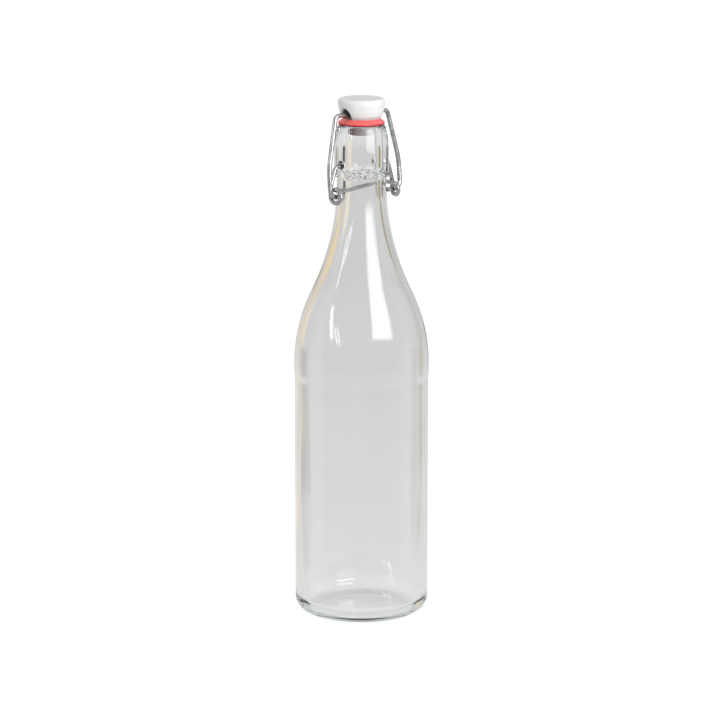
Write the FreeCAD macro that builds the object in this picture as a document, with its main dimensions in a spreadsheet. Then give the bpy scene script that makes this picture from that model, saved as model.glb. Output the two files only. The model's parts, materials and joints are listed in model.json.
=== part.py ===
"""A one-litre swing-top growler: glass bottle, stopper, gasket, bail wire and lever wire.

Frame, in millimetres: the origin is the centre of the foot on the table and +Z is up.
X runs along the closure's hinge axes, and the lever's thumb loop is on the +Y side.
The closure is shut: the eyes stand eye_offset in front (-Y) of the pivots, past the line
from pivot to bar, so the pull of the gasket keeps the lever against the neck.
"""
import FreeCAD, Part
import math
import os
import Sketcher

# Driving dimensions: every size that can be set by itself, in millimetres.
DIMENSIONS = {
    # bottle, body
    "glass_height": 318.0,
    "body_radius": 43.4,
    "label_recess": 0.4,
    "body_wall": 3.0,
    "heel_radius": 9.0,
    "inner_heel_radius": 7.0,
    "bearing_width": 2.5,
    "push_up": 5.0,
    "base_thickness": 4.5,
    "shoulder_height": 163.0,
    "shoulder_straight": 4.9,
    "neck_curve_share": 0.6,
    # bottle, neck and finish
    "bore_radius": 10.35,
    "neck_wall": 5.45,
    "neck_straight": 2.0,
    "barrel_height": 34.0,
    "barrel_step": 1.7,
    "barrel_corner": 1.1,
    "barrel_taper_height": 19.0,
    "barrel_curve": 75.0,
    "rim_round": 2.0,
    "lip_round": 1.5,
    "pivot_rise": 9.0,
    "dimple_depth": 4.0,
    "dimple_clearance": 0.35,
    # stopper
    "head_overhang": 0.1,
    "head_waist_inset": 0.8,
    "head_foot_step": 0.2,
    "head_height": 12.8,
    "head_rounding": 2.2,
    "head_waist_height": 4.7,
    "head_straight_height": 8.7,
    "bar_seat": 3.2,
    "bar_clearance": 0.3,
    "recess_radius": 4.4,
    "recess_depth": 4.5,
    "stem_depth": 6.5,
    "stem_clearance": 1.35,
    "stem_groove": 1.4,
    "stem_rounding": 1.2,
    # gasket
    "gasket_lift": 0.45,
    "gasket_height": 3.85,
    "gasket_lip": 0.5,
    "gasket_overlap": 1.15,
    "gasket_bulge": 0.3,
    "gasket_slope": 2.9,
    "gasket_clearance": 0.1,
    # wires
    "bail_wire_radius": 1.5,
    "lever_wire_radius": 1.35,
    "eye_drop": 18.4,
    "eye_offset": 4.0,
    "eye_clearance": 1.1,
    "eye_gap": 0.2,
    "elbow_gap": 3.4,
    "elbow_bend": 4.0,
    "arm_splay": 4.2,
    "arm_foot_rise": 0.8,
    "leg_end_gap": 0.4,
    "exit_run": 2.5,
    "bow_corner_inset": 2.5,
    "bow_corner_back": 4.5,
    "bow_corner_drop": 2.5,
    "bow_bend": 6.5,
    "thumb_gap": 0.5,
    "thumb_drop": 4.3,
    "thumb_half_width": 6.0,
    "bail_gap": 0.4,
    "bail_side_gap": 5.3,
    "bail_bend": 4.0,
    "bail_hook_bend": 5.0,
    "bail_knee_height": 18.6,
    "bail_knee_bend": 55.0,
    "hook_reach": 7.8,
}

# Values worked out from the driving dimensions (Dim is the sheet, Calc is this set).
DERIVED = {
    "neck_radius": "Dim.bore_radius + Dim.neck_wall",
    "barrel_radius": "Calc.neck_radius + Dim.barrel_step",
    "panel_radius": "Dim.body_radius - Dim.label_recess",
    "inner_radius": "Calc.panel_radius - Dim.body_wall",
    "barrel_foot": "Dim.glass_height - Dim.barrel_height",
    "neck_top": "Calc.barrel_foot - Dim.neck_straight",
    "barrel_shoulder": "Dim.glass_height - Dim.barrel_taper_height",
    "pivot_height": "Calc.barrel_foot + Dim.pivot_rise",
    "dimple_radius": "Dim.lever_wire_radius + Dim.dimple_clearance",
    # rim: a small arc that runs smoothly out of the barrel's long one
    "barrel_curve_centre": "Calc.barrel_radius - Dim.barrel_curve",
    "rim_run": "Dim.barrel_taper_height - Dim.rim_round",
    "rim_reach": "sqrt((Dim.barrel_curve - Dim.rim_round)^2 - Calc.rim_run^2)",
    "rim_inset": "Calc.barrel_curve_centre + Calc.rim_reach",
    "rim_share": "Dim.barrel_curve / (Dim.barrel_curve - Dim.rim_round)",
    # stopper and gasket
    "bead_radius": "Dim.bore_radius - Dim.stem_clearance",
    "stem_radius": "Calc.bead_radius - Dim.stem_groove",
    "gasket_foot": "Calc.rim_inset + Dim.gasket_overlap",
    "gasket_radius": "Calc.gasket_foot + Dim.gasket_bulge",
    "gasket_top": "Calc.gasket_radius - Dim.gasket_slope",
    "gasket_hole": "Calc.stem_radius + Dim.gasket_clearance",
    "head_base": "Dim.gasket_lift + Dim.gasket_height",
    "head_foot": "Calc.gasket_top + Dim.head_foot_step",
    "head_radius": "Calc.gasket_radius + Dim.head_overhang",
    "bar_height": "Calc.head_base + Dim.bar_seat",
    "bar_hole_radius": "Dim.bail_wire_radius + Dim.bar_clearance",
    # closure wires
    "eye_radius": "Dim.bail_wire_radius + Dim.eye_clearance + Dim.lever_wire_radius",
    "elbow_half_width": "Calc.barrel_radius + Dim.elbow_gap + Dim.lever_wire_radius",
    "arm_half_width": "Calc.elbow_half_width + Dim.arm_splay",
    "loop_half_width": "Calc.arm_half_width - 2 * Dim.lever_wire_radius - Dim.eye_gap",
    "bow_half_width": "Calc.arm_half_width + Dim.lever_wire_radius + Dim.bail_gap + Dim.bail_wire_radius",
    "bar_half_width": "Calc.head_radius + Dim.bail_side_gap + Dim.bail_wire_radius",
    "eye_height": "Calc.pivot_height - Dim.eye_drop",
    "bail_rise": "Dim.glass_height + Calc.bar_height - Calc.eye_height",
    "bail_length": "sqrt(Calc.bail_rise^2 + Dim.eye_offset^2)",
    "hook_tip": "Calc.arm_half_width - Dim.hook_reach",
}

SIDES = (1, -1)
PATH_TOLERANCE = 1e-6
CORNERS_PER_TURN = 8
EYE_BEND_SHARE = 0.97  # the eye's bends stop just short of each other, so that runs stay between
SWEEP_TOLERANCE = 0.01


def make_sheet(doc):
    """The driving dimensions, one row each, with the name as the cell's alias."""
    sheet = doc.addObject("Spreadsheet::Sheet", "Dim")
    for row, (name, size) in enumerate(DIMENSIONS.items(), start=1):
        sheet.set(f"A{row}", name)
        sheet.set(f"B{row}", str(size))
        sheet.setAlias(f"B{row}", name)
    doc.recompute()
    return sheet


def add_value(values, name, formula):
    values.addProperty("App::PropertyFloat", name)
    values.setExpression(name, formula)


def make_values(doc):
    """The derived values, each bound to the formula that gives it."""
    values = doc.addObject("App::VarSet", "Calc")
    for name, formula in DERIVED.items():
        add_value(values, name, formula)
    add_shoulder_curve(values, "outer", "Dim.body_radius", "Calc.neck_radius", "0")
    wall = "Dim.body_wall"
    add_shoulder_curve(values, "inner", f"Dim.body_radius - {wall}", "Dim.bore_radius", wall)
    doc.recompute()
    return values


def add_shoulder_curve(values, side, low_radius, high_radius, inset):
    """Two tangent arcs joined by a straight, from upright body wall to upright neck.

    The convex shoulder arc keeps its centre on both sides of the glass, so the inner one is
    smaller by the wall. The concave neck arc takes what is left of the sum of the radii.
    """
    add_value(values, f"{side}_width", f"({low_radius}) - ({high_radius})")
    width = f"Calc.{side}_width"
    add_value(values, f"{side}_rise", "Calc.neck_top - Dim.shoulder_height")
    rise = f"Calc.{side}_rise"
    add_value(values, f"{side}_sum", f"({width}^2 + {rise}^2 - Dim.shoulder_straight^2) / (2 * {width})")
    total = f"Calc.{side}_sum"
    add_value(values, f"{side}_shoulder_curve", f"Calc.outer_sum * (1 - Dim.neck_curve_share) - ({inset})")
    shoulder = f"Calc.{side}_shoulder_curve"
    add_value(values, f"{side}_neck_curve", f"{total} - {shoulder}")
    neck = f"Calc.{side}_neck_curve"
    lean = f"atan({rise} / ({total} - {width})) - atan(Dim.shoulder_straight / {total})"
    add_value(values, f"{side}_lean_cos", f"cos({lean})")
    add_value(values, f"{side}_lean_sin", f"sin({lean})")
    cosine = f"Calc.{side}_lean_cos"
    sine = f"Calc.{side}_lean_sin"
    add_value(values, f"{side}_low_r", f"({low_radius}) - {shoulder} * (1 - {cosine})")
    add_value(values, f"{side}_low_z", f"Dim.shoulder_height + {shoulder} * {sine}")
    add_value(values, f"{side}_high_r", f"({high_radius}) + {neck} * (1 - {cosine})")
    add_value(values, f"{side}_high_z", f"Calc.neck_top - {neck} * {sine}")


def make_body(doc, name):
    body = doc.addObject("PartDesign::Body", name)
    body.Label = name
    return body


def origin_plane(body, role):
    for feature in body.Origin.OriginFeatures:
        if feature.Role == role:
            return feature
    raise ValueError(f"{body.Name} has no {role}")


def make_sketch(body, name, role):
    sketch = body.newObject("Sketcher::SketchObject", name)
    sketch.AttachmentSupport = [(origin_plane(body, role), "")]
    sketch.MapMode = "FlatFace"
    return sketch


def bind(sketch, constraint, label, formula):
    """Add a dimension to a sketch and tie it to its formula."""
    index = sketch.addConstraint(constraint)
    sketch.renameConstraint(index, label)
    sketch.setExpression(f"Constraints.{label}", formula)


def pin(sketch, geometry, end, label, across, up):
    """Fix one end of an edge at (across, up), each a formula."""
    x = sketch.evalExpression(across)
    y = sketch.evalExpression(up)
    bind(sketch, Sketcher.Constraint("DistanceX", -1, 1, geometry, end, x), f"{label}_x", across)
    bind(sketch, Sketcher.Constraint("DistanceY", -1, 1, geometry, end, y), f"{label}_y", up)


def draw_circle(sketch, height, radius):
    """A circle on the sketch's vertical axis, its height and radius each a formula."""
    up = sketch.evalExpression(height)
    size = sketch.evalExpression(radius)
    sketch.addGeometry(Part.Circle(FreeCAD.Vector(0, up, 0), FreeCAD.Vector(0, 0, 1), size), False)
    sketch.addConstraint(Sketcher.Constraint("PointOnObject", 0, 3, -2))
    bind(sketch, Sketcher.Constraint("DistanceY", -1, 1, 0, 3, up), "height", height)
    bind(sketch, Sketcher.Constraint("Radius", 0, size), "radius", radius)


def corner(sketch, point):
    return FreeCAD.Vector(sketch.evalExpression(point[0]), sketch.evalExpression(point[1]), 0)


def arc_middle(start, end, radius):
    """The middle of the short arc from start to end; a positive radius bulges to its left."""
    chord = end - start
    half = chord.Length / 2
    depth = abs(radius) - math.sqrt(max(radius * radius - half * half, 0.0))
    left = FreeCAD.Vector(-chord.y, chord.x, 0).normalize()
    return (start + end) * 0.5 + left * math.copysign(depth, radius)


def draw_outline(sketch, corners):
    """Draw a closed outline with every corner pinned.

    Each corner is (across, up), or (across, up, radius, turn) where the edge that leaves it
    is an arc: turn 1 bulges to the left of the way the outline runs, and -1 to the right.
    """
    count = len(corners)
    for index, this in enumerate(corners):
        start = corner(sketch, this)
        end = corner(sketch, corners[(index + 1) % count])
        if len(this) == 2:
            sketch.addGeometry(Part.LineSegment(start, end), False)
            continue
        radius = sketch.evalExpression(this[2])
        middle = arc_middle(start, end, radius * this[3])
        sketch.addGeometry(Part.Arc(start, middle, end), False)
    for index in range(count):
        following = (index + 1) % count
        leaving = edge_end(sketch, index, corner(sketch, corners[following]))
        entering = edge_end(sketch, following, corner(sketch, corners[following]))
        sketch.addConstraint(Sketcher.Constraint("Coincident", index, leaving, following, entering))
    for index, this in enumerate(corners):
        pin(sketch, index, edge_end(sketch, index, corner(sketch, this)), f"p{index}", *this[:2])
        if len(this) == 4:
            size = sketch.evalExpression(this[2])
            bind(sketch, Sketcher.Constraint("Radius", index, size), f"arc{index}", this[2])


def edge_end(sketch, index, point):
    """Which end of an edge (1 or 2) lies at a point: arcs are stored anticlockwise."""
    first = sketch.getPoint(index, 1)
    last = sketch.getPoint(index, 2)
    return 1 if first.distanceToPoint(point) < last.distanceToPoint(point) else 2


def revolve(doc, body, name, corners):
    """A full turn of an outline about the Z axis."""
    sketch = make_sketch(body, f"{name}_outline", "XZ_Plane")
    doc.recompute()
    draw_outline(sketch, corners)
    turn = body.newObject("PartDesign::Revolution", name)
    turn.Profile = sketch
    turn.ReferenceAxis = (sketch, ["V_Axis"])
    turn.Angle = 360.0
    doc.recompute()
    return turn


def make_bottle(doc):
    """The glass: one revolved wall, with two blind dimples that carry the lever."""
    body = make_body(doc, "bottle")
    rim = "Dim.glass_height"
    ledge = ("Dim.shoulder_height - sqrt(2 * Calc.outer_shoulder_curve * Dim.label_recess"
             " - Dim.label_recess^2)")
    heel = "Calc.panel_radius - Dim.heel_radius"
    inner_heel = "Calc.inner_radius - Dim.inner_heel_radius"
    foot = f"({heel}) - Dim.bearing_width"
    corner_fillet = "Dim.barrel_step - Dim.barrel_corner"
    inner_ledge = ("Dim.shoulder_height - sqrt(2 * Calc.inner_shoulder_curve * Dim.label_recess"
                   " - Dim.label_recess^2)")
    outline = [
        ("0", "Dim.push_up", f"(({foot})^2 + Dim.push_up^2) / (2 * Dim.push_up)", 1),
        (foot, "0"),
        (heel, "0", "Dim.heel_radius", -1),
        ("Calc.panel_radius", "Dim.heel_radius"),
        ("Calc.panel_radius", ledge, "Calc.outer_shoulder_curve", -1),
        ("Calc.outer_low_r", "Calc.outer_low_z"),
        ("Calc.outer_high_r", "Calc.outer_high_z", "Calc.outer_neck_curve", 1),
        ("Calc.neck_radius", "Calc.neck_top"),
        ("Calc.neck_radius", "Calc.barrel_foot", corner_fillet, 1),
        (f"Calc.neck_radius + {corner_fillet}", f"Calc.barrel_foot + {corner_fillet}",
         "Dim.barrel_corner", -1),
        ("Calc.barrel_radius", "Calc.barrel_foot + Dim.barrel_step"),
        ("Calc.barrel_radius", "Calc.barrel_shoulder", "Dim.barrel_curve", -1),
        ("Calc.barrel_curve_centre + Calc.rim_reach * Calc.rim_share",
         "Calc.barrel_shoulder + Calc.rim_run * Calc.rim_share", "Dim.rim_round", -1),
        ("Calc.rim_inset", rim),
        ("Dim.bore_radius + Dim.lip_round", rim, "Dim.lip_round", -1),
        ("Dim.bore_radius", f"{rim} - Dim.lip_round"),
        ("Dim.bore_radius", "Calc.neck_top", "Calc.inner_neck_curve", -1),
        ("Calc.inner_high_r", "Calc.inner_high_z"),
        ("Calc.inner_low_r", "Calc.inner_low_z", "Calc.inner_shoulder_curve", 1),
        ("Calc.inner_radius", inner_ledge),
        ("Calc.inner_radius", "Dim.base_thickness + Dim.inner_heel_radius", "Dim.inner_heel_radius", 1),
        (inner_heel, "Dim.base_thickness", f"(({inner_heel})^2 + Dim.push_up^2) / (2 * Dim.push_up)", -1),
        ("0", "Dim.base_thickness + Dim.push_up"),
    ]
    revolve(doc, body, "wall", outline)
    for side in SIDES:
        cut_dimple(doc, body, side)
    return body


def cut_dimple(doc, body, side):
    """A blind hole in the barrel's side that one leg of the lever turns in."""
    before = body.Shape.Volume
    name = "dimple_right" if side > 0 else "dimple_left"
    sketch = make_sketch(body, f"{name}_circle", "YZ_Plane")
    sketch.setExpression("AttachmentOffset.Base.z", f"{side} * (Calc.barrel_radius - Dim.dimple_depth)")
    draw_circle(sketch, "Calc.pivot_height", "Calc.dimple_radius")
    pocket = body.newObject("PartDesign::Pocket", name)
    pocket.Profile = sketch
    pocket.Reversed = side > 0
    pocket.setExpression("Length", "2 * Dim.dimple_depth")
    doc.recompute()
    check_cut(body, before, name)


def check_cut(body, before, name):
    if body.Shape.Volume > before - PATH_TOLERANCE:
        raise RuntimeError(f"{name} cuts nothing")


def make_stopper(doc):
    """The moulded head with its cross hole and side recesses, and the beaded stem under it."""
    body = make_body(doc, "stopper")
    body.setExpression("Placement.Base.z", "Dim.glass_height")
    bead_low = "-Dim.stem_depth"
    bead_top = "Dim.gasket_lift"
    crown = "Calc.head_base + Dim.head_height"
    outline = [
        ("0", bead_low),
        ("Calc.bead_radius - Dim.stem_rounding", bead_low, "Dim.stem_rounding", -1),
        ("Calc.bead_radius", f"{bead_low} + Dim.stem_rounding"),
        ("Calc.bead_radius", f"{bead_top} - Dim.stem_groove", "Dim.stem_groove", -1),
        ("Calc.stem_radius", bead_top),
        ("Calc.stem_radius", "Calc.head_base"),
        ("Calc.head_foot", "Calc.head_base"),
        ("Calc.head_radius - Dim.head_waist_inset", "Calc.head_base + Dim.head_waist_height"),
        ("Calc.head_radius", "Calc.head_base + Dim.head_straight_height"),
        ("Calc.head_radius", f"{crown} - Dim.head_rounding", "Dim.head_rounding", -1),
        ("Calc.head_radius - Dim.head_rounding", crown),
        ("0", crown),
    ]
    revolve(doc, body, "head_and_stem", outline)
    drill_bar_hole(doc, body)
    for side in SIDES:
        cut_recess(doc, body, side)
    return body


def drill_bar_hole(doc, body):
    """The cross hole, a clear fit round the bail's bar."""
    before = body.Shape.Volume
    sketch = make_sketch(body, "bar_hole_circle", "YZ_Plane")
    draw_circle(sketch, "Calc.bar_height", "Calc.bar_hole_radius")
    hole = body.newObject("PartDesign::Pocket", "bar_hole")
    hole.Profile = sketch
    hole.Midplane = True
    hole.setExpression("Length", "3 * Calc.head_radius")
    doc.recompute()
    check_cut(body, before, "bar_hole")


def cut_recess(doc, body, side):
    """An arched pocket in the head's side, open below, where the bar leaves the head."""
    before = body.Shape.Volume
    name = "recess_right" if side > 0 else "recess_left"
    sketch = make_sketch(body, f"{name}_arch", "YZ_Plane")
    sketch.setExpression("AttachmentOffset.Base.z", f"{side} * (Calc.head_radius - Dim.recess_depth)")
    doc.recompute()
    below = "Calc.head_base - Dim.recess_radius / 4"
    outline = [
        ("-Dim.recess_radius", below),
        ("Dim.recess_radius", below),
        ("Dim.recess_radius", "Calc.bar_height", "Dim.recess_radius", -1),
        ("0", "Calc.bar_height + Dim.recess_radius", "Dim.recess_radius", -1),
        ("-Dim.recess_radius", "Calc.bar_height"),
    ]
    draw_outline(sketch, outline)
    pocket = body.newObject("PartDesign::Pocket", name)
    pocket.Profile = sketch
    pocket.Reversed = side > 0
    pocket.setExpression("Length", "2 * Dim.recess_depth")
    doc.recompute()
    check_cut(body, before, name)


def make_gasket(doc):
    """The rubber ring on the stem, wide below and narrow under the head."""
    body = make_body(doc, "gasket")
    body.setExpression("Placement.Base.z", "Dim.glass_height + Dim.gasket_lift")
    hole = "Calc.gasket_hole"
    outline = [
        (hole, "0"),
        ("Calc.gasket_foot", "0"),
        ("Calc.gasket_radius", "Dim.gasket_lip"),
        ("Calc.gasket_top", "Dim.gasket_height"),
        (hole, "Dim.gasket_height"),
    ]
    revolve(doc, body, "ring", outline)
    return body


def make_bail(doc):
    """The upper wire: a bar through the stopper, two splayed legs, and a hook into each eye.

    It is drawn flat, with the hooks on its X axis, then leans back from the eyes to the bar.
    """
    body = make_body(doc, "bail_wire")
    body.Placement.Rotation = FreeCAD.Rotation(FreeCAD.Vector(-1, 0, 0), 1)
    body.setExpression("Placement.Base.y", "-Dim.eye_offset")
    body.setExpression("Placement.Base.z", "Calc.eye_height")
    body.setExpression("Placement.Rotation.Angle", "atan(Dim.eye_offset / Calc.bail_rise)")
    right = [
        ("Calc.hook_tip", "0", None),
        ("Calc.bow_half_width", "0", "Dim.bail_hook_bend"),
        ("Calc.bow_half_width", "Dim.bail_knee_height", "Dim.bail_knee_bend"),
        ("Calc.bar_half_width", "Calc.bail_length", "Dim.bail_bend"),
    ]
    left = [(f"-{across}", up, bend) for across, up, bend in reversed(right)]
    path = make_sketch(body, "bail_path", "XZ_Plane")
    doc.recompute()
    draw_bent_path(path, right + left)
    circle = make_sketch(body, "bail_section", "YZ_Plane")
    circle.setExpression("AttachmentOffset.Base.z", "Calc.hook_tip")
    draw_circle(circle, "0", "Dim.bail_wire_radius")
    sweep = body.newObject("PartDesign::AdditivePipe", "bail_sweep")
    sweep.Profile = circle
    sweep.Spine = path
    doc.recompute()
    return body


def draw_bent_path(sketch, corners):
    """Draw an open wire path: straight runs, with an arc of the given bend at each corner."""
    points = [corner(sketch, this) for this in corners]
    bends = [sketch.evalExpression(bend) if bend else 0.0 for _, _, bend in corners]
    edges = bent_edges(points, bends)
    for edge in edges:
        sketch.addGeometry(edge, False)
    for index in range(len(edges) - 1):
        joint = edges[index].EndPoint
        leaving = edge_end(sketch, index, joint)
        entering = edge_end(sketch, index + 1, joint)
        sketch.addConstraint(Sketcher.Constraint("Tangent", index, leaving, index + 1, entering))
    arcs = [index for index, edge in enumerate(edges) if isinstance(edge, Part.Arc)]
    for index, (_, _, bend) in zip(arcs, corners[1:-1]):
        size = sketch.evalExpression(bend)
        bind(sketch, Sketcher.Constraint("Radius", index, size), f"bend{index}", bend)
    for number, (across, up, _) in enumerate(corners):
        pin_corner(sketch, edges, number, across, up)


def pin_corner(sketch, edges, number, across, up):
    """Pin a wire's end, or the crossing of the two runs that meet at a bend."""
    last = len(edges) // 2 + 1
    if number == 0:
        pin(sketch, 0, 1, "start", across, up)
        return
    if number == last:
        pin(sketch, len(edges) - 1, 2, "finish", across, up)
        return
    at = FreeCAD.Vector(sketch.evalExpression(across), sketch.evalExpression(up), 0)
    crossing = sketch.addGeometry(Part.Point(at), True)
    for run in (2 * number - 2, 2 * number):
        sketch.addConstraint(Sketcher.Constraint("PointOnObject", crossing, 1, run))
    pin(sketch, crossing, 1, f"corner{number}", across, up)


def bent_edges(points, bends):
    """Runs from point to point, joined at each inner point by a tangent arc of its bend."""
    edges = []
    start = points[0]
    for before, at, after, bend in zip(points, points[1:], points[2:], bends[1:]):
        arriving = (at - before).normalize()
        leaving = (after - at).normalize()
        turn = arriving.getAngle(leaving)
        setback = bend * math.tan(turn / 2)
        first = at - arriving * setback
        last = at + leaving * setback
        inward = (leaving - arriving).normalize()
        middle = at + inward * bend * (1 / math.cos(turn / 2) - 1)
        if (first - start).Length > PATH_TOLERANCE:
            edges.append(Part.LineSegment(start, first))
        edges.append(Part.Arc(first, middle, last))
        start = last
    edges.append(Part.LineSegment(start, points[-1]))
    return edges


def lever_half_path(sheet, values, side):
    """The corners of one side of the lever, from the leg's end to the thumb loop.

    The leg comes out of the dimple and turns down at the elbow. The arm splays out to the eye,
    goes three quarters of a turn round the hook while it steps inwards by a wire, and leaves
    backwards over the hook, inside the arm, to curve round the back of the neck.
    Heights are below the pivot, and every corner carries the radius of its bend.
    """
    eye_y = -sheet.eye_offset
    eye_z = -sheet.eye_drop
    eye_top = eye_z + values.eye_radius
    leg_end = values.barrel_radius - sheet.dimple_depth + sheet.leg_end_gap
    arm_back = eye_y + values.eye_radius
    bow_side = values.barrel_radius - sheet.bow_corner_inset
    bow_back = values.barrel_radius - sheet.bow_corner_back
    thumb_back = values.barrel_radius + sheet.thumb_gap + sheet.lever_wire_radius
    path = [
        (leg_end, 0, 0, 0),
        (values.elbow_half_width, 0, 0, sheet.elbow_bend),
        (values.arm_half_width, arm_back, eye_top + sheet.arm_foot_rise, sheet.elbow_bend),
    ]
    path += eye_corners(values, eye_y, eye_z)
    path += [
        (values.loop_half_width, sheet.exit_run, eye_top, sheet.elbow_bend),
        (bow_side, bow_back, eye_top - sheet.bow_corner_drop, sheet.bow_bend),
        (sheet.thumb_half_width, thumb_back, eye_top - sheet.thumb_drop, sheet.bow_bend),
    ]
    return [(FreeCAD.Vector(side * x, y, z), bend) for x, y, z, bend in path]


def eye_corners(values, eye_y, eye_z):
    """Three quarters of a turn round the hook: back, under, up the front and over the top."""
    half_step = math.pi / CORNERS_PER_TURN
    reach = values.eye_radius / math.cos(half_step)
    count = 3 * CORNERS_PER_TURN // 4
    corners = []
    for index in range(count):
        angle = -half_step * (2 * index + 1)
        share = (index + 0.5) / count
        across = values.arm_half_width + (values.loop_half_width - values.arm_half_width) * share
        y = eye_y + reach * math.cos(angle)
        z = eye_z + reach * math.sin(angle)
        corners.append((across, y, z, EYE_BEND_SHARE * values.eye_radius))
    return corners


def make_lever(doc, sheet, values):
    """The lower wire, bent from one length: leg, eye, thumb loop, eye, leg."""
    route = lever_half_path(sheet, values, 1) + lever_half_path(sheet, values, -1)[::-1]
    points = [point for point, _ in route]
    bends = [bend for _, bend in route]
    spine = Part.Wire([edge.toShape() for edge in bent_edges(points, bends)])
    radius = sheet.lever_wire_radius
    circle = Part.Circle(points[0], points[1] - points[0], radius)
    section = Part.Wire([circle.toShape()])
    solid = spine.makePipeShell([section], True, False)
    expected = math.pi * radius * radius * spine.Length
    if abs(solid.Volume - expected) > SWEEP_TOLERANCE * expected:
        raise RuntimeError("the lever's sweep has lost its section")
    lever = doc.addObject("Part::Feature", "lever_wire")
    lever.Label = "lever_wire"
    lever.Shape = solid
    lever.Placement = FreeCAD.Placement(FreeCAD.Vector(0, 0, values.pivot_height), FreeCAD.Rotation())
    return lever


def check_document(doc, parts):
    """Refuse a failed object or a shape that isn't one sound solid."""
    for thing in doc.Objects:
        if "Invalid" in thing.State or "Error" in thing.State:
            raise RuntimeError(f"{thing.Name} failed: {thing.State}")
    for part in parts:
        shape = part.Shape
        if shape.isNull() or not shape.isValid() or len(shape.Solids) != 1:
            raise RuntimeError(f"{part.Label} is not one sound solid")


def main():
    doc = FreeCAD.newDocument("growler")
    sheet = make_sheet(doc)
    values = make_values(doc)
    parts = [
        make_bottle(doc),
        make_stopper(doc),
        make_gasket(doc),
        make_bail(doc),
        make_lever(doc, sheet, values),
    ]
    doc.recompute()
    check_document(doc, parts)
    os.makedirs("parts", exist_ok=True)
    for part in parts:
        part.Shape.exportStep(f"parts/{part.Label}.step")
        print(part.Label, "volume", round(part.Shape.Volume, 1), "mm3", part.Shape.BoundBox)


main()
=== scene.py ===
"""The looks of a one-litre swing-top growler: clear glass, white stopper, red gasket, steel wires."""
import json
import math

import bmesh
import bpy
from mathutils import Matrix, Quaternion, Vector


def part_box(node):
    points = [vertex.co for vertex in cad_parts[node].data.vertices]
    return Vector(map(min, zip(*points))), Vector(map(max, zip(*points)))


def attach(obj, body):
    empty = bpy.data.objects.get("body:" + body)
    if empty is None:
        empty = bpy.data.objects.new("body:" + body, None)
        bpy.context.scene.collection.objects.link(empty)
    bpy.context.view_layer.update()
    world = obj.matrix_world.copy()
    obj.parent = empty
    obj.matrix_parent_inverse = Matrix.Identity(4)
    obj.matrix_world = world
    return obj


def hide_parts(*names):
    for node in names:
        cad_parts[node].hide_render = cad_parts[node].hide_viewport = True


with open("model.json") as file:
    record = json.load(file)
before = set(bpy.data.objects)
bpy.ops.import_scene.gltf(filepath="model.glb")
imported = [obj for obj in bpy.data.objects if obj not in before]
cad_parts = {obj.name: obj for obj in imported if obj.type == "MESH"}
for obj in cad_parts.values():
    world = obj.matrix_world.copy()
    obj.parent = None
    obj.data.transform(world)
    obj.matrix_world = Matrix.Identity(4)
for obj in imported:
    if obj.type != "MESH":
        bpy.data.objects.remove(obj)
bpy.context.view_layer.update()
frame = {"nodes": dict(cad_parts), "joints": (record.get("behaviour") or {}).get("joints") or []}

MM = 0.001

# ---------------------------------------------------------------- sizes, from the frame

GLASS_LOW, GLASS_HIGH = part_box("bottle")
STOPPER_LOW, STOPPER_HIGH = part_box("stopper")
GASKET_LOW, GASKET_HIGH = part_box("gasket")
RIM_HEIGHT = GLASS_HIGH.z
BODY_RADIUS = GLASS_HIGH.x

# The glass, as it is moulded.
LABEL_RECESS = 0.4 * MM
BODY_WALL = 3.0 * MM
HEEL_RADIUS = 9.0 * MM
INNER_HEEL_RADIUS = 7.0 * MM
BEARING_WIDTH = 2.5 * MM
PUSH_UP = 5.0 * MM
BASE_THICKNESS = 4.5 * MM
SHOULDER_HEIGHT = 163.0 * MM
SHOULDER_STRAIGHT = 4.9 * MM
NECK_CURVE_SHARE = 0.6
BORE_RADIUS = 10.35 * MM
NECK_WALL = 5.45 * MM
NECK_STRAIGHT = 2.0 * MM
BARREL_HEIGHT = 34.0 * MM
BARREL_STEP = 1.7 * MM
BARREL_CORNER = 1.1 * MM
BARREL_TAPER_HEIGHT = 19.0 * MM
BARREL_CURVE = 75.0 * MM
RIM_ROUND = 2.0 * MM
LIP_ROUND = 1.5 * MM
DIMPLE_RADIUS = 2.1 * MM
DIMPLE_TAPER = 1.6 * MM
DIMPLE_RISE = 0.7 * MM
DIMPLE_DEPTH = 4.0 * MM

LIP_STEPS = 10
WAVE_DEPTH = 0.14 * MM

NECK_RADIUS = BORE_RADIUS + NECK_WALL
BARREL_RADIUS = NECK_RADIUS + BARREL_STEP
BARREL_FOOT = RIM_HEIGHT - BARREL_HEIGHT
NECK_TOP = BARREL_FOOT - NECK_STRAIGHT
PANEL_RADIUS = BODY_RADIUS - LABEL_RECESS

# The uneven ring inside the neck, level with the barrel's foot.
RING_HEIGHT = BARREL_FOOT + 3.5 * MM
RING_SPREAD = 2.0 * MM
RING_DEPTH = 0.8 * MM

ROUND_SEGMENTS = 256

# The photo's direction, as level directions to the right of the picture and towards the camera.
VIEW_AZIMUTH = math.radians(-41.9)
VIEW_RIGHT = Vector((math.cos(VIEW_AZIMUTH), math.sin(VIEW_AZIMUTH), 0.0))
VIEW_NEAR = Vector((math.sin(VIEW_AZIMUTH), -math.cos(VIEW_AZIMUTH), 0.0))


def joint(name):
    """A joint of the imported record, by name."""
    for entry in frame["joints"]:
        if entry["name"] == name:
            return entry
    raise KeyError(name)


# ---------------------------------------------------------------- small tools

def mesh_object(name, vertices, faces):
    """A smooth mesh object from plain lists, linked to the scene."""
    mesh = bpy.data.meshes.new(name)
    mesh.from_pydata(vertices, [], faces)
    mesh.update()
    mesh.polygons.foreach_set("use_smooth", [True] * len(mesh.polygons))
    piece = bpy.data.objects.new(name, mesh)
    bpy.context.scene.collection.objects.link(piece)
    return piece


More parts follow.
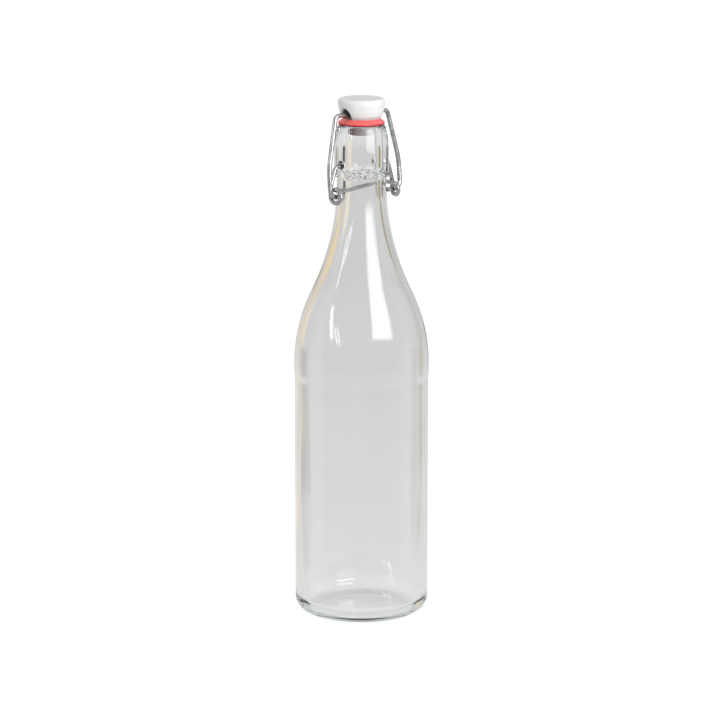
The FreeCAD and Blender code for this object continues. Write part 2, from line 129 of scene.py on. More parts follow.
def apply_modifiers(piece):
    """Replace the piece's mesh with what its modifiers make of it."""
    graph = bpy.context.evaluated_depsgraph_get()
    result = bpy.data.meshes.new_from_object(piece.evaluated_get(graph))
    piece.modifiers.clear()
    piece.data = result


def arc(centre, radius, start, end, steps):
    """Points of an arc in the (radius, height) plane; angles in degrees from outward, anticlockwise."""
    points = []
    for index in range(steps + 1):
        angle = math.radians(start + (end - start) * index / steps)
        points.append((centre[0] + radius * math.cos(angle), centre[1] + radius * math.sin(angle)))
    return points


def line(start, end, steps):
    """Points of a straight line, both ends included."""
    return [
        (start[0] + (end[0] - start[0]) * index / steps, start[1] + (end[1] - start[1]) * index / steps)
        for index in range(steps + 1)
    ]


def join_runs(*runs):
    """One polyline from several, without the points that two runs share."""
    joined = []
    for run in runs:
        for point in run:
            if not joined or math.dist(joined[-1], point) > 1e-7:
                joined.append(point)
    return joined


def revolve(name, outline, segments, ripple=None):
    """A closed skin from an outline that starts and ends on the axis.

    ripple(angle, height, radius, index) moves a point outwards, in metres.
    """
    inner = outline[1:-1]
    vertices = [(0.0, 0.0, outline[0][1])]
    for index, (radius, height) in enumerate(inner):
        for turn in range(segments):
            angle = 2 * math.pi * turn / segments
            reach = radius + (ripple(angle, height, radius, index) if ripple else 0.0)
            vertices.append((reach * math.cos(angle), reach * math.sin(angle), height))
    vertices.append((0.0, 0.0, outline[-1][1]))
    last = len(vertices) - 1
    faces = []
    for turn in range(segments):
        faces.append((0, 1 + (turn + 1) % segments, 1 + turn))
    for row in range(len(inner) - 1):
        low = 1 + row * segments
        high = low + segments
        for turn in range(segments):
            after = (turn + 1) % segments
            faces.append((low + turn, low + after, high + after, high + turn))
    top = 1 + (len(inner) - 1) * segments
    for turn in range(segments):
        faces.append((last, top + turn, top + (turn + 1) % segments))
    return mesh_object(name, vertices, faces)


def ring(name, outline, segments):
    """A skin revolved from a closed outline that stands clear of the axis."""
    if math.dist(outline[0], outline[-1]) < 1e-7:
        outline = outline[:-1]
    count = len(outline)
    vertices = []
    for turn in range(segments):
        angle = 2 * math.pi * turn / segments
        vertices += [(r * math.cos(angle), r * math.sin(angle), z) for r, z in outline]
    faces = []
    for turn in range(segments):
        here = turn * count
        there = ((turn + 1) % segments) * count
        for i in range(count):
            after = (i + 1) % count
            faces.append((here + i, there + i, there + after, here + after))
    piece = mesh_object(name, vertices, faces)
    point_outwards(piece)
    piece.data.set_sharp_from_angle(angle=math.radians(50))
    return piece


def rod_cutter(middle, radius, length, taper=0.0):
    """A rod along X, to cut a round hole with; it widens by the taper towards +X, or -X where negative."""
    mesh = bpy.data.meshes.new("rod_cutter")
    tool = bmesh.new()
    bmesh.ops.create_cone(tool, cap_ends=True, segments=40, radius1=radius + max(0.0, -taper),
                          radius2=radius + max(0.0, taper), depth=length)
    bmesh.ops.rotate(tool, verts=tool.verts, matrix=Matrix.Rotation(math.radians(90), 3, "Y"))
    bmesh.ops.translate(tool, verts=tool.verts, vec=middle)
    tool.to_mesh(mesh)
    tool.free()
    cutter = bpy.data.objects.new("rod_cutter", mesh)
    bpy.context.scene.collection.objects.link(cutter)
    return cutter


def cut_away(piece, cutters):
    """Cut each cutter out of the piece, and remove the cutters."""
    for cutter in cutters:
        cut = piece.modifiers.new("cut", "BOOLEAN")
        cut.operation = "DIFFERENCE"
        cut.solver = "EXACT"
        cut.object = cutter
    apply_modifiers(piece)
    for cutter in cutters:
        bpy.data.objects.remove(cutter)


def soften(piece, grain, rounds):
    """Remesh a piece evenly and smooth it, which rounds its edges by about the grain."""
    remesh = piece.modifiers.new("remesh", "REMESH")
    remesh.mode = "VOXEL"
    remesh.voxel_size = grain
    remesh.use_smooth_shade = True
    smooth = piece.modifiers.new("smooth", "SMOOTH")
    smooth.factor = 0.5
    smooth.iterations = rounds
    apply_modifiers(piece)


def point_outwards(piece):
    """Turn every face of a closed mesh outwards."""
    tool = bmesh.new()
    tool.from_mesh(piece.data)
    bmesh.ops.recalc_face_normals(tool, faces=tool.faces)
    tool.to_mesh(piece.data)
    tool.free()


# ---------------------------------------------------------------- bottle

def shoulder_curve(low_radius, high_radius, inset):
    """Two tangent arcs and the straight between them: body wall up to neck, as in the glass.

    Returns the convex radius, the concave radius and the lean of the straight, in degrees.
    """
    outer_width = BODY_RADIUS - NECK_RADIUS
    width = low_radius - high_radius
    rise = NECK_TOP - SHOULDER_HEIGHT
    outer_total = (outer_width**2 + rise**2 - SHOULDER_STRAIGHT**2) / (2 * outer_width)
    total = (width**2 + rise**2 - SHOULDER_STRAIGHT**2) / (2 * width)
    convex = outer_total * (1 - NECK_CURVE_SHARE) - inset
    concave = total - convex
    lean = math.degrees(math.atan2(rise, total - width) - math.atan2(SHOULDER_STRAIGHT, total))
    return convex, concave, lean


def glass_outside():
    """Outside of the wall, from the middle of the push-up to the top of the rim."""
    convex, concave, lean = shoulder_curve(BODY_RADIUS, NECK_RADIUS, 0.0)
    heel = PANEL_RADIUS - HEEL_RADIUS
    foot = heel - BEARING_WIDTH
    dome = (foot**2 + PUSH_UP**2) / (2 * PUSH_UP)
    dome_half = math.degrees(math.asin(foot / dome))
    ledge_turn = math.degrees(math.acos(1 - LABEL_RECESS / convex))
    ledge = SHOULDER_HEIGHT - convex * math.sin(math.radians(ledge_turn))
    fillet = BARREL_STEP - BARREL_CORNER
    curve_centre = BARREL_RADIUS - BARREL_CURVE
    barrel_shoulder = RIM_HEIGHT - BARREL_TAPER_HEIGHT
    rim_turn = math.degrees(math.asin((BARREL_TAPER_HEIGHT - RIM_ROUND) / (BARREL_CURVE - RIM_ROUND)))
    reach = (BARREL_CURVE - RIM_ROUND) * math.cos(math.radians(rim_turn))
    rim_inset = curve_centre + reach
    return join_runs(
        arc((0.0, PUSH_UP - dome), dome, 90, 90 - dome_half, 20),
        line((foot, 0.0), (heel, 0.0), 4),
        arc((heel, HEEL_RADIUS), HEEL_RADIUS, -90, 0, 24),
        line((PANEL_RADIUS, HEEL_RADIUS), (PANEL_RADIUS, ledge), 24),
        arc((BODY_RADIUS - convex, SHOULDER_HEIGHT), convex, -ledge_turn, lean, 44),
        arc((NECK_RADIUS + concave, NECK_TOP), concave, 180 + lean, 180, 54),
        line((NECK_RADIUS, NECK_TOP), (NECK_RADIUS, BARREL_FOOT), 2),
        arc((NECK_RADIUS + fillet, BARREL_FOOT), fillet, 180, 90, 6),
        arc((BARREL_RADIUS - BARREL_CORNER, BARREL_FOOT + BARREL_STEP), BARREL_CORNER, -90, 0, 8),
        line((BARREL_RADIUS, BARREL_FOOT + BARREL_STEP), (BARREL_RADIUS, barrel_shoulder), 14),
        arc((curve_centre, barrel_shoulder), BARREL_CURVE, 0, rim_turn, 18),
        arc((rim_inset, RIM_HEIGHT - RIM_ROUND), RIM_ROUND, rim_turn, 90, 10),
    )


def glass_inside():
    """Inside of the wall, from the top of the rim to the middle of the floor."""
    inner_low = BODY_RADIUS - BODY_WALL
    convex, concave, lean = shoulder_curve(inner_low, BORE_RADIUS, BODY_WALL)
    inner_radius = PANEL_RADIUS - BODY_WALL
    heel = inner_radius - INNER_HEEL_RADIUS
    ledge_turn = math.degrees(math.acos(1 - LABEL_RECESS / convex))
    ledge = SHOULDER_HEIGHT - convex * math.sin(math.radians(ledge_turn))
    dome = (heel**2 + PUSH_UP**2) / (2 * PUSH_UP)
    dome_half = math.degrees(math.asin(heel / dome))
    lip = BORE_RADIUS + LIP_ROUND
    return join_runs(
        arc((lip, RIM_HEIGHT - LIP_ROUND), LIP_ROUND, 90, 180, LIP_STEPS),
        line((BORE_RADIUS, RIM_HEIGHT - LIP_ROUND), (BORE_RADIUS, NECK_TOP), 64),
        arc((BORE_RADIUS + concave, NECK_TOP), concave, 180, 180 + lean, 54),
        arc((inner_low - convex, SHOULDER_HEIGHT), convex, lean, -ledge_turn, 44),
        line((inner_radius, ledge), (inner_radius, BASE_THICKNESS + INNER_HEEL_RADIUS), 56),
        arc((heel, BASE_THICKNESS + INNER_HEEL_RADIUS), INNER_HEEL_RADIUS, 0, -90, 20),
        arc((0.0, BASE_THICKNESS + PUSH_UP - dome), dome, 90 - dome_half, 90, 24),
    )


def build_bottle():
    """The glass as one closed skin: pushed-up foot, body, shoulder, neck, barrel, rim and inside."""
    outside = glass_outside()
    outline = join_runs(outside, glass_inside())
    first_inner = len(outside)

    def ripple(angle, height, radius, index):
        """Blown glass: the inside is a little uneven, the outside follows the mould."""
        if index < first_inner + LIP_STEPS:
            return 0.0
        ring = math.exp(-(((height - RING_HEIGHT) / RING_SPREAD) ** 2))
        swirl = 1 + 0.55 * math.sin(5 * angle + 0.6) + 0.45 * math.sin(11 * angle + 2.1 + 900 * height)
        free = max(0.0, min(1.0, (radius - BORE_RADIUS) / (10 * MM)))
        wave = 0.55 * math.sin(3 * angle + 1.1 + 14 * height)
        wave += 0.30 * math.sin(7 * angle - 0.4 - 30 * height)
        wave += 0.22 * math.sin(12 * angle + 2.3 + 55 * height)
        wave += 0.30 * math.sin(2 * angle + 95 * height)
        return WAVE_DEPTH * free * wave - RING_DEPTH * ring * swirl

    bottle = revolve("bottle_glass", outline, ROUND_SEGMENTS, ripple)
    cut_dimples(bottle)
    return bottle


def cut_dimples(bottle):
    """Two blind holes in the barrel's sides, on the lever's axis."""
    pivot = joint("lever_pivot")["pos_m"]
    height = pivot[2] + DIMPLE_RISE
    cutters = []
    for side in (1, -1):
        mouth = (side * BARREL_RADIUS, 0.0, height)
        cutters.append(rod_cutter(mouth, DIMPLE_RADIUS, 2 * DIMPLE_DEPTH, side * DIMPLE_TAPER))
    cut_away(bottle, cutters)
    bottle.data.set_sharp_from_angle(angle=math.radians(40))


# ---------------------------------------------------------------- stopper and gasket

BEAD_RADIUS = 9.0 * MM
STEM_GROOVE = 1.4 * MM
STEM_ROUNDING = 1.2 * MM
STEM_RADIUS = BEAD_RADIUS - STEM_GROOVE
HEAD_BASE = GASKET_HIGH.z
HEAD_TOP = STOPPER_HIGH.z
HEAD_RADIUS = STOPPER_HIGH.x
HEAD_WAIST_INSET = 0.8 * MM
HEAD_WAIST = HEAD_BASE + 4.7 * MM
HEAD_STRAIGHT = HEAD_BASE + 8.7 * MM
HEAD_ROUNDING = 2.2 * MM
HEAD_DISH = 0.25 * MM
DISH_RADIUS = 0.6 * HEAD_RADIUS
BAR_HEIGHT = joint("stopper_bar")["pos_m"][2]
BAR_HOLE_RADIUS = 1.8 * MM
RECESS_RADIUS = 4.0 * MM
RECESS_DEPTH = 4.5 * MM
MOULDING_GRAIN = 0.24 * MM
MOULDING_ROUNDS = 5

# The gasket: how far its slope leans in, its rounded lip, and the play of its hole round the stem.
GASKET_SLOPE = 2.9 * MM
GASKET_LIP = 0.8 * MM
GASKET_HOLLOW = 0.3 * MM
GASKET_PLAY = 0.1 * MM
HEAD_OVERHANG = 0.2 * MM
HEAD_FOOT = GASKET_HIGH.x - GASKET_SLOPE + HEAD_OVERHANG


def build_stopper():
    """The head with its dished crown, cross hole and side recesses, and the beaded stem."""
    bead_foot = STOPPER_LOW.z
    groove = GASKET_LOW.z
    outline = join_runs(
        line((0.0, bead_foot), (BEAD_RADIUS - STEM_ROUNDING, bead_foot), 6),
        arc((BEAD_RADIUS - STEM_ROUNDING, bead_foot + STEM_ROUNDING), STEM_ROUNDING, -90, 0, 6),
        arc((STEM_RADIUS, groove - STEM_GROOVE), STEM_GROOVE, 0, 90, 6),
        line((STEM_RADIUS, groove), (STEM_RADIUS, HEAD_BASE), 4),
        line((STEM_RADIUS, HEAD_BASE), (HEAD_FOOT, HEAD_BASE), 4),
        line((HEAD_FOOT, HEAD_BASE), (HEAD_RADIUS - HEAD_WAIST_INSET, HEAD_WAIST), 6),
        line((HEAD_RADIUS - HEAD_WAIST_INSET, HEAD_WAIST), (HEAD_RADIUS, HEAD_STRAIGHT), 6),
        line((HEAD_RADIUS, HEAD_STRAIGHT), (HEAD_RADIUS, HEAD_TOP - HEAD_ROUNDING), 4),
        arc((HEAD_RADIUS - HEAD_ROUNDING, HEAD_TOP - HEAD_ROUNDING), HEAD_ROUNDING, 0, 90, 10),
        line((HEAD_RADIUS - HEAD_ROUNDING, HEAD_TOP), (DISH_RADIUS, HEAD_TOP - HEAD_DISH), 6),
        line((DISH_RADIUS, HEAD_TOP - HEAD_DISH), (0.0, HEAD_TOP - HEAD_DISH), 6),
    )
    stopper = revolve("stopper_moulding", outline, ROUND_SEGMENTS // 2)
    cutters = [rod_cutter((0.0, 0.0, BAR_HEIGHT), BAR_HOLE_RADIUS, 3 * HEAD_RADIUS)]
    cutters += [recess_cutter(side) for side in (1, -1)]
    cut_away(stopper, cutters)
    soften(stopper, MOULDING_GRAIN, MOULDING_ROUNDS)
    return stopper


def recess_cutter(side):
    """An arched block, open below, where the bar leaves the head."""
    outline = [(-RECESS_RADIUS, HEAD_BASE - RECESS_RADIUS), (RECESS_RADIUS, HEAD_BASE - RECESS_RADIUS)]
    outline += arc((0.0, BAR_HEIGHT), RECESS_RADIUS, 0, 180, 24)
    inside = side * (HEAD_RADIUS - RECESS_DEPTH)
    outside = side * (HEAD_RADIUS + RECESS_DEPTH)
    count = len(outline)
    vertices = [(across, y, z) for across in (inside, outside) for y, z in outline]
    faces = [tuple(range(count)), tuple(range(2 * count - 1, count - 1, -1))]
    faces += [(i, count + i, count + (i + 1) % count, (i + 1) % count) for i in range(count)]
    cutter = mesh_object("recess_cutter", vertices, faces)
    point_outwards(cutter)
    return cutter


def build_gasket():
    """A rubber ring: rounded lip on the glass, a slightly hollow slope up to the head."""
    low = GASKET_LOW.z
    high = GASKET_HIGH.z
    outer = GASKET_HIGH.x
    hole = STEM_RADIUS + GASKET_PLAY
    steps = 12
    straight = line((outer - 0.4 * GASKET_LIP, low + 2 * GASKET_LIP), (outer - GASKET_SLOPE, high), steps)
    slope = []
    for index, (across, height) in enumerate(straight):
        hollow = GASKET_HOLLOW * math.sin(math.pi * index / steps)
        slope.append((across - hollow, height))
    outline = join_runs(
        [(hole, high), (hole, low)],
        line((hole, low), (outer - GASKET_LIP, low), 8),
        arc((outer - GASKET_LIP, low + GASKET_LIP), GASKET_LIP, -90, 60, 10),
        slope,
        line(slope[-1], (hole, high), 6),
    )
    return ring("gasket_ring", outline, ROUND_SEGMENTS)


# ---------------------------------------------------------------- materials

def new_material(name):
    """A material with one Principled shader; returns the material, its nodes, its links and the shader."""
    material = bpy.data.materials.new(name)
    material.use_nodes = True
    tree = material.node_tree
    return material, tree.nodes, tree.links, tree.nodes["Principled BSDF"]


def noise(nodes, links, vector, scale, detail, stretch=(1, 1, 1)):
    """A noise texture over object space, stretched by a mapping node."""
    mapping = nodes.new("ShaderNodeMapping")
    mapping.inputs["Scale"].default_value = stretch
    links.new(vector, mapping.inputs["Vector"])
    texture = nodes.new("ShaderNodeTexNoise")
    texture.inputs["Scale"].default_value = scale
    texture.inputs["Detail"].default_value = detail
    links.new(mapping.outputs["Vector"], texture.inputs["Vector"])
    return texture.outputs["Fac"]


def object_space(nodes):
    """The point in its object's own space, so that a pattern moves with its piece."""
    return nodes.new("ShaderNodeTexCoord").outputs["Object"]


def add_bump(nodes, links, shader, height, strength, distance):
    """Small relief on a shader's normal, from a height."""
    bump = nodes.new("ShaderNodeBump")
    bump.inputs["Strength"].default_value = strength
    bump.inputs["Distance"].default_value = distance
    links.new(height, bump.inputs["Height"])
    links.new(bump.outputs["Normal"], shader.inputs["Normal"])


def vary_roughness(nodes, links, shader, value, low, high):
    """Carry a value of 0..1 to a roughness between low and high."""
    links.new(map_range(nodes, links, value, 0.0, 1.0, low, high), shader.inputs["Roughness"])


def ramp(nodes, links, value, stops):
    """A colour ramp over a value: stops are (position, colour)."""
    node = nodes.new("ShaderNodeValToRGB")
    elements = node.color_ramp.elements
    while len(elements) < len(stops):
        elements.new(0.5)
    for element, (position, colour) in zip(elements, stops):
        element.position = position
        element.color = (*colour, 1.0)
    links.new(value, node.inputs["Fac"])
    return node.outputs["Color"]


def map_range(nodes, links, value, start, end, low=0.0, high=1.0):
    """A value carried from start..end to low..high, clamped."""
    node = nodes.new("ShaderNodeMapRange")
    node.inputs["From Min"].default_value = start
    node.inputs["From Max"].default_value = end
    node.inputs["To Min"].default_value = low
    node.inputs["To Max"].default_value = high
    links.new(value, node.inputs["Value"])
    return node.outputs["Result"]


def mix_colour(nodes, links, share, colour, other):
    """A blend of a linked colour with a fixed one."""
    node = nodes.new("ShaderNodeMix")
    node.data_type = "RGBA"
    links.new(share, node.inputs["Factor"])
    links.new(colour, node.inputs["A"])
    node.inputs["B"].default_value = (*other, 1.0)
    return node.outputs["Result"]


def calculate(nodes, links, operation, *values):
    """One Math node over sockets and numbers; returns its output."""
    node = nodes.new("ShaderNodeMath")
    node.operation = operation
    for socket, value in zip(node.inputs, values):
        if isinstance(value, (int, float)):
            socket.default_value = value
        else:
            links.new(value, socket)
    return node.outputs["Value"]


def along(nodes, links, way, axis):
    """How far a direction points along an axis, -1 to 1."""
    dot = nodes.new("ShaderNodeVectorMath")
    dot.operation = "DOT_PRODUCT"
    dot.inputs[1].default_value = axis
    links.new(way, dot.inputs[0])
    return dot.outputs["Value"]


GLASS_TINT = (0.86, 0.93, 0.94)
GLASS_DENSITY = 14.0
CLEAN_PLASTIC = ((0.3, (0.69, 0.69, 0.68)), (0.75, (0.76, 0.76, 0.755)))
# Painted shade: a dark brown laid into the head's recesses and cross hole, where shade falls.
PAINTED_RECESS_SHADE = (0.085, 0.07, 0.06)
# Painted shade: the stem's colour darkens to brown towards the left of the view, over the span of the next
# two numbers.
STEM_PAINTED_SHADE = (0.17, 0.10, 0.09)
SHADE_SIDE_START = 6.0 * MM
SHADE_SIDE_END = -5.0 * MM
# Painted highlight: the slope's pale pinkish red stands for the sheen of light on it; the lip keeps the
# rubber's deep red.
PAINTED_SLOPE_SHEEN = ((0.3, (0.80, 0.10, 0.10)), (0.7, (0.90, 0.17, 0.16)))
LIP_RUBBER_RED = (0.40, 0.01, 0.02)
LIP_TOP = GASKET_LOW.z + 1.2 * GASKET_LIP
STEEL_TONES = ((0.35, (0.32, 0.32, 0.33)), (0.7, (0.54, 0.54, 0.55)))


def glass_material():
    """Clear soda glass with a trace of green in thick places and the faint waves of moulding."""
    material, nodes, links, shader = new_material("clear_glass")
    shader.inputs["Transmission Weight"].default_value = 1.0
    shader.inputs["IOR"].default_value = 1.52
    shader.inputs["Base Color"].default_value = (0.99, 0.99, 0.99, 1.0)
    shader.inputs["Roughness"].default_value = 0.0
    space = object_space(nodes)
    waves = noise(nodes, links, space, 60.0, 1.0, (1.0, 1.0, 0.35))
    add_bump(nodes, links, shader, waves, 0.12, 0.4 * MM)
    absorption = nodes.new("ShaderNodeVolumeAbsorption")
    absorption.inputs["Color"].default_value = (*GLASS_TINT, 1.0)
    absorption.inputs["Density"].default_value = GLASS_DENSITY
    links.new(absorption.outputs["Volume"], nodes["Material Output"].inputs["Volume"])
    return material


def recess_shade_share(nodes, links, split):
    """1 in the recesses and the cross hole, which are painted dark as shade, and 0 on the head's skin."""
    square_x = calculate(nodes, links, "MULTIPLY", split.outputs["X"], split.outputs["X"])
    square_y = calculate(nodes, links, "MULTIPLY", split.outputs["Y"], split.outputs["Y"])
    reach = calculate(nodes, links, "SQRT", calculate(nodes, links, "ADD", square_x, square_y))
    deep = map_range(nodes, links, reach, HEAD_RADIUS - 1.6 * MM, HEAD_RADIUS - 3.8 * MM)
    above = map_range(nodes, links, split.outputs["Z"], HEAD_BASE, HEAD_BASE + 0.6 * MM)
    below = map_range(nodes, links, split.outputs["Z"], HEAD_TOP - 2.0 * MM, HEAD_TOP - 2.8 * MM)
    return calculate(nodes, links, "MULTIPLY", deep, calculate(nodes, links, "MULTIPLY", above, below))


def plastic_material():
    """Glossy white moulding with dulled patches, painted shade in the recesses and a painted brown shade
    on one side of the stem.
    """
    material, nodes, links, shader = new_material("white_plastic")
    space = object_space(nodes)
    patches = noise(nodes, links, space, 140.0, 4.0)
    colour = ramp(nodes, links, patches, CLEAN_PLASTIC)
    split = nodes.new("ShaderNodeSeparateXYZ")
    links.new(space, split.inputs["Vector"])
    shaded_recess = recess_shade_share(nodes, links, split)
    # Painted shade: the recesses and the cross hole are coloured dark brown.
    colour = mix_colour(nodes, links, shaded_recess, colour, PAINTED_RECESS_SHADE)
    # Painted shade: below the gasket, the stem is coloured brown on its side towards the left of the view.
    on_stem = map_range(nodes, links, split.outputs["Z"], GASKET_LOW.z, GASKET_LOW.z - 0.6 * MM)
    across = along(nodes, links, space, VIEW_RIGHT)
    shaded_side = map_range(nodes, links, across, SHADE_SIDE_START, SHADE_SIDE_END)
    shaded_side = calculate(nodes, links, "MULTIPLY", on_stem, shaded_side)
    colour = mix_colour(nodes, links, shaded_side, colour, STEM_PAINTED_SHADE)
    links.new(colour, shader.inputs["Base Color"])
    vary_roughness(nodes, links, shader, patches, 0.22, 0.42)
    grain = noise(nodes, links, space, 2400.0, 3.0)
    add_bump(nodes, links, shader, grain, 0.12, 0.03 * MM)
    shader.inputs["Subsurface Weight"].default_value = 0.15
    shader.inputs["Subsurface Radius"].default_value = (1.0, 0.9, 0.8)
    shader.inputs["Subsurface Scale"].default_value = 0.0015
    return material


def rubber_material():
    """Red rubber: a pale, patchy painted sheen on the slope, standing for the light it catches, and the
    deep red of the lip below it.
    """
    material, nodes, links, shader = new_material("red_rubber")
    space = object_space(nodes)
    patches = noise(nodes, links, space, 260.0, 3.0)
    # Painted highlight: the slope above the lip is coloured pale pink where it catches light.
    colour = ramp(nodes, links, patches, PAINTED_SLOPE_SHEEN)
    split = nodes.new("ShaderNodeSeparateXYZ")
    links.new(space, split.inputs["Vector"])
    on_lip = map_range(nodes, links, split.outputs["Z"], LIP_TOP + 0.4 * MM, LIP_TOP)
    colour = mix_colour(nodes, links, on_lip, colour, LIP_RUBBER_RED)
    links.new(colour, shader.inputs["Base Color"])
    shader.inputs["Roughness"].default_value = 0.34
    grain = noise(nodes, links, space, 3000.0, 2.0)
    add_bump(nodes, links, shader, grain, 0.25, 0.04 * MM)
    shader.inputs["Subsurface Weight"].default_value = 0.1
    shader.inputs["Subsurface Radius"].default_value = (1.0, 0.2, 0.1)
    shader.inputs["Subsurface Scale"].default_value = 0.001
    return material


def steel_material(name):
    """Bright drawn wire: fine lines, light scratches and duller spots."""
    material, nodes, links, shader = new_material(name)
    space = object_space(nodes)
    shader.inputs["Metallic"].default_value = 1.0
    patches = noise(nodes, links, space, 320.0, 5.0)
    colour = ramp(nodes, links, patches, STEEL_TONES)
    links.new(colour, shader.inputs["Base Color"])
    vary_roughness(nodes, links, shader, patches, 0.12, 0.28)
    scratches = noise(nodes, links, space, 900.0, 3.0, (1.0, 1.0, 0.12))
    add_bump(nodes, links, shader, scratches, 0.15, 0.03 * MM)
    return material


# ---------------------------------------------------------------- stage

def add_camera():
    """A long lens a little above the bottle, turned to the closure's left front."""
    distance = 2.252
    height = 0.6586
    aim_height = 0.165
    side_step = 0.00094
    camera_data = bpy.data.cameras.new("camera")
    camera_data.sensor_width = 36.0
    camera_data.lens = 179.1
    camera_data.clip_end = 50.0
    camera = bpy.data.objects.new("camera", camera_data)
    bpy.context.scene.collection.objects.link(camera)
    camera.location = VIEW_NEAR * distance + Vector((0, 0, height)) - VIEW_RIGHT * side_step
    aim = Vector((0, 0, aim_height)) - VIEW_RIGHT * side_step
    camera.rotation_euler = (aim - camera.location).to_track_quat("-Z", "Y").to_euler()
    bpy.context.scene.camera = camera


# The share of the light's width and height over which each edge fades.
EDGE_FADES = (("X", 0.10), ("Y", 0.07))


def fade_edges(data):
    """Let a light's brightness fall off near its edges."""
    data.use_nodes = True
    nodes = data.node_tree.nodes
    links = data.node_tree.links
    split = nodes.new("ShaderNodeSeparateXYZ")
    links.new(nodes.new("ShaderNodeNewGeometry").outputs["Parametric"], split.inputs["Vector"])
    brightness = 1.0
    for axis, share in EDGE_FADES:
        middle = calculate(nodes, links, "SUBTRACT", split.outputs[axis], 0.5)
        off = calculate(nodes, links, "ABSOLUTE", middle)
        edge = map_range(nodes, links, off, 0.5, 0.5 - share)
        brightness = calculate(nodes, links, "MULTIPLY", edge, brightness)
    links.new(brightness, nodes["Emission"].inputs["Strength"])


def add_softbox():
    """One soft window to the right of the camera, close to the bottle, fading at its edges."""
    turn = math.radians(40)
    roll = math.radians(-5)
    distance = 0.435
    low = 0.258
    high = 0.66
    width = 0.325
    radiance = 4.7
    data = bpy.data.lights.new("softbox", "AREA")
    data.shape = "RECTANGLE"
    data.size = width
    data.size_y = high - low
    data.energy = radiance * math.pi * width * (high - low)
    fade_edges(data)
    light = bpy.data.objects.new("softbox", data)
    bpy.context.scene.collection.objects.link(light)
    out = VIEW_NEAR * math.cos(turn) + VIEW_RIGHT * math.sin(turn)
    light.location = out * distance + Vector((0, 0, (low + high) / 2))
    upright = (-out).to_track_quat("-Z", "Y")
    light.rotation_euler = (upright @ Quaternion((0.0, 0.0, 1.0), roll)).to_euler()
    light.visible_camera = False


# What stands round the bottle, as patches of the studio's wall. A patch has a name, its middle at the
# horizon, given in degrees to the right of the camera as the bottle sees it, its lean in degrees for
# each degree of elevation, its half width, its lowest and highest elevation, the softness of its sides
# and of its ends, all in degrees, and its colour.
PATCHES = (
    ("window_pane", -49.3, -0.75, 2.3, 10, 28, 1, 3, (8.0, 8.0, 8.0)),
    ("window_post", -34.6, -1.0, 1.7, 8, 18, 1, 3, (8.0, 8.0, 8.0)),
    ("side_wall_right", 92, 0, 14, -20, 60, 14, 10, (0.85, 0.85, 0.85)),
    ("side_wall_left", -88, 0, 14, -20, 60, 14, 10, (0.85, 0.85, 0.85)),
    ("wooden_frame", -138, 0, 9, -5, 16, 8, 5, (0.86, 0.67, 0.38)),
    ("wooden_foot", -160, 0, 6, -16, -5, 5, 3, (0.88, 0.80, 0.66)),
    ("dark_gap_left", -121, 0, 10, -14.8, -5, 4, 1.6, (0.05, 0.05, 0.05)),
    ("dark_gap_right", 130, 0, 7, -5, 20, 4, 2, (0.36, 0.30, 0.22)),
    ("yellow_strip", 125, 0, 7, -14.8, -5, 2, 1.6, (0.32, 0.24, 0.04)),
    ("shelf_left", -180, 0, 8, -3, 2, 9, 5, (0.50, 0.36, 0.18)),
    ("shelf_right", 180, 0, 8, -3, 2, 9, 5, (0.50, 0.36, 0.18)),
    ("cupboard_left", -180, 0, 8, 2, 6, 9, 3, (0.08, 0.06, 0.04)),
    ("cupboard_right", 180, 0, 8, 2, 6, 9, 3, (0.08, 0.06, 0.04)),
)
# The wall's own brightness at the sine of each elevation, from straight down to straight up.
WALL_TONES = (
    (-1.0, 0.70),
    (-0.45, 0.77),
    (-0.30, 0.765),
    (-0.19, 0.63),
    (0.0, 0.58),
    (0.6, 0.68),
    (1.0, 1.05),
)


def within(nodes, links, angle, middle, half, soft):
    """1 where an angle in radians is within half of the middle, falling to 0 over soft; all in degrees."""
    middle, half, soft = (math.radians(value) for value in (middle, half, soft))
    off = calculate(nodes, links, "ABSOLUTE", calculate(nodes, links, "SUBTRACT", angle, middle))
    fall = nodes.new("ShaderNodeMapRange")
    fall.interpolation_type = "SMOOTHSTEP"
    fall.inputs["From Min"].default_value = half + soft / 2
    fall.inputs["From Max"].default_value = half - soft / 2
    links.new(off, fall.inputs["Value"])
    return fall.outputs["Result"]


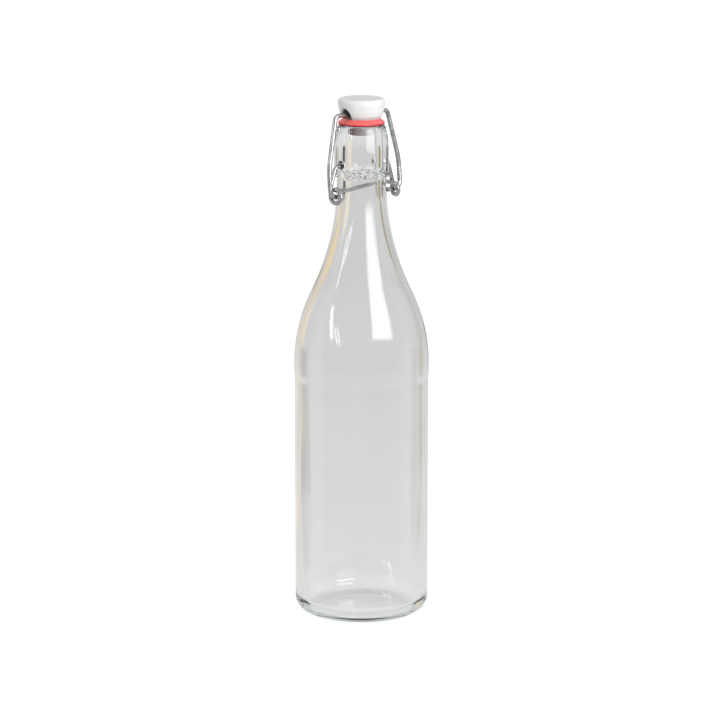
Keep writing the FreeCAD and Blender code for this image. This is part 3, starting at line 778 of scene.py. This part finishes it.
def add_world():
    """A pale studio all round, seen in glass and steel, and plain white paper behind."""
    world = bpy.data.worlds.new("studio")
    bpy.context.scene.world = world
    world.use_nodes = True
    nodes = world.node_tree.nodes
    links = world.node_tree.links
    way = nodes.new("ShaderNodeTexCoord").outputs["Generated"]
    up = along(nodes, links, way, Vector((0, 0, 1)))
    near = along(nodes, links, way, VIEW_NEAR)
    right = along(nodes, links, way, VIEW_RIGHT)
    turn = calculate(nodes, links, "ARCTAN2", right, near)
    lift = calculate(nodes, links, "ARCSINE", up)
    height = calculate(nodes, links, "MULTIPLY_ADD", up, 0.5, 0.5)
    stops = [((tone_up + 1) / 2, (tone, tone, tone)) for tone_up, tone in WALL_TONES]
    colour = ramp(nodes, links, height, stops)
    for name, middle, lean, half, low, high, side_soft, end_soft, patch_colour in PATCHES:
        straight = calculate(nodes, links, "MULTIPLY_ADD", lift, -lean, turn)
        across = within(nodes, links, straight, middle, half, side_soft)
        upright = within(nodes, links, lift, (low + high) / 2, (high - low) / 2, end_soft)
        blend = nodes.new("ShaderNodeMix")
        blend.label = name
        blend.data_type = "RGBA"
        blend.clamp_factor = True
        links.new(calculate(nodes, links, "MULTIPLY", across, upright), blend.inputs["Factor"])
        links.new(colour, blend.inputs["A"])
        blend.inputs["B"].default_value = (*patch_colour, 1.0)
        colour = blend.outputs["Result"]
    lit = nodes["Background"]
    links.new(colour, lit.inputs["Color"])
    paper = nodes.new("ShaderNodeBackground")
    paper.inputs["Color"].default_value = (1, 1, 1, 1)
    mix = nodes.new("ShaderNodeMixShader")
    rays = nodes.new("ShaderNodeLightPath")
    links.new(rays.outputs["Is Camera Ray"], mix.inputs["Fac"])
    links.new(lit.outputs["Background"], mix.inputs[1])
    links.new(paper.outputs["Background"], mix.inputs[2])
    links.new(mix.outputs["Shader"], nodes["World Output"].inputs["Surface"])


FLOOR_REACH = 40.0
FLOOR_GAP = 0.2 * MM
FLOOR_GLOW = 0.86


def add_floor():
    """A plain pale floor under the foot, which only the camera sees: glass and steel see the studio."""
    corners = ((-1, -1), (1, -1), (1, 1), (-1, 1))
    points = [(x * FLOOR_REACH, y * FLOOR_REACH, -FLOOR_GAP) for x, y in corners]
    floor = mesh_object("floor", points, [(0, 1, 2, 3)])
    material, _nodes, _links, shader = new_material("pale_floor")
    shader.inputs["Base Color"].default_value = (0.30, 0.30, 0.30, 1.0)
    shader.inputs["Roughness"].default_value = 0.9
    shader.inputs["Specular IOR Level"].default_value = 0.0
    shader.inputs["Emission Color"].default_value = (1.0, 1.0, 1.0, 1.0)
    shader.inputs["Emission Strength"].default_value = FLOOR_GLOW
    floor.data.materials.append(material)
    floor.visible_diffuse = False
    floor.visible_glossy = False
    floor.visible_transmission = False
    floor.visible_shadow = False


def finish_piece(piece, body, nodes, material):
    """Give a piece its material, and let it ride on its body in place of its CAD nodes."""
    piece.data.materials.clear()
    piece.data.materials.append(material)
    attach(piece, body)
    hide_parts(*nodes)


# Enough for the thick glass of the heel, where light is reflected many times inside.
GLASS_BOUNCES = 32
GLOSS_BOUNCES = 16


def main():
    """Build the stage and the pieces, and give every piece its material."""
    scene = bpy.context.scene
    scene.view_settings.view_transform = "Standard"
    scene.cycles.max_bounces = GLASS_BOUNCES
    scene.cycles.transmission_bounces = GLASS_BOUNCES
    scene.cycles.glossy_bounces = GLOSS_BOUNCES
    add_camera()
    add_world()
    add_softbox()
    add_floor()
    finish_piece(build_bottle(), "bottle", ["bottle"], glass_material())
    finish_piece(build_stopper(), "stopper", ["stopper"], plastic_material())
    finish_piece(build_gasket(), "stopper", ["gasket"], rubber_material())
    for name, finish in (("bail_wire", "bail_steel"), ("lever_wire", "lever_steel")):
        node = frame["nodes"][name]
        node.data.materials.clear()
        node.data.materials.append(steel_material(finish))


main()
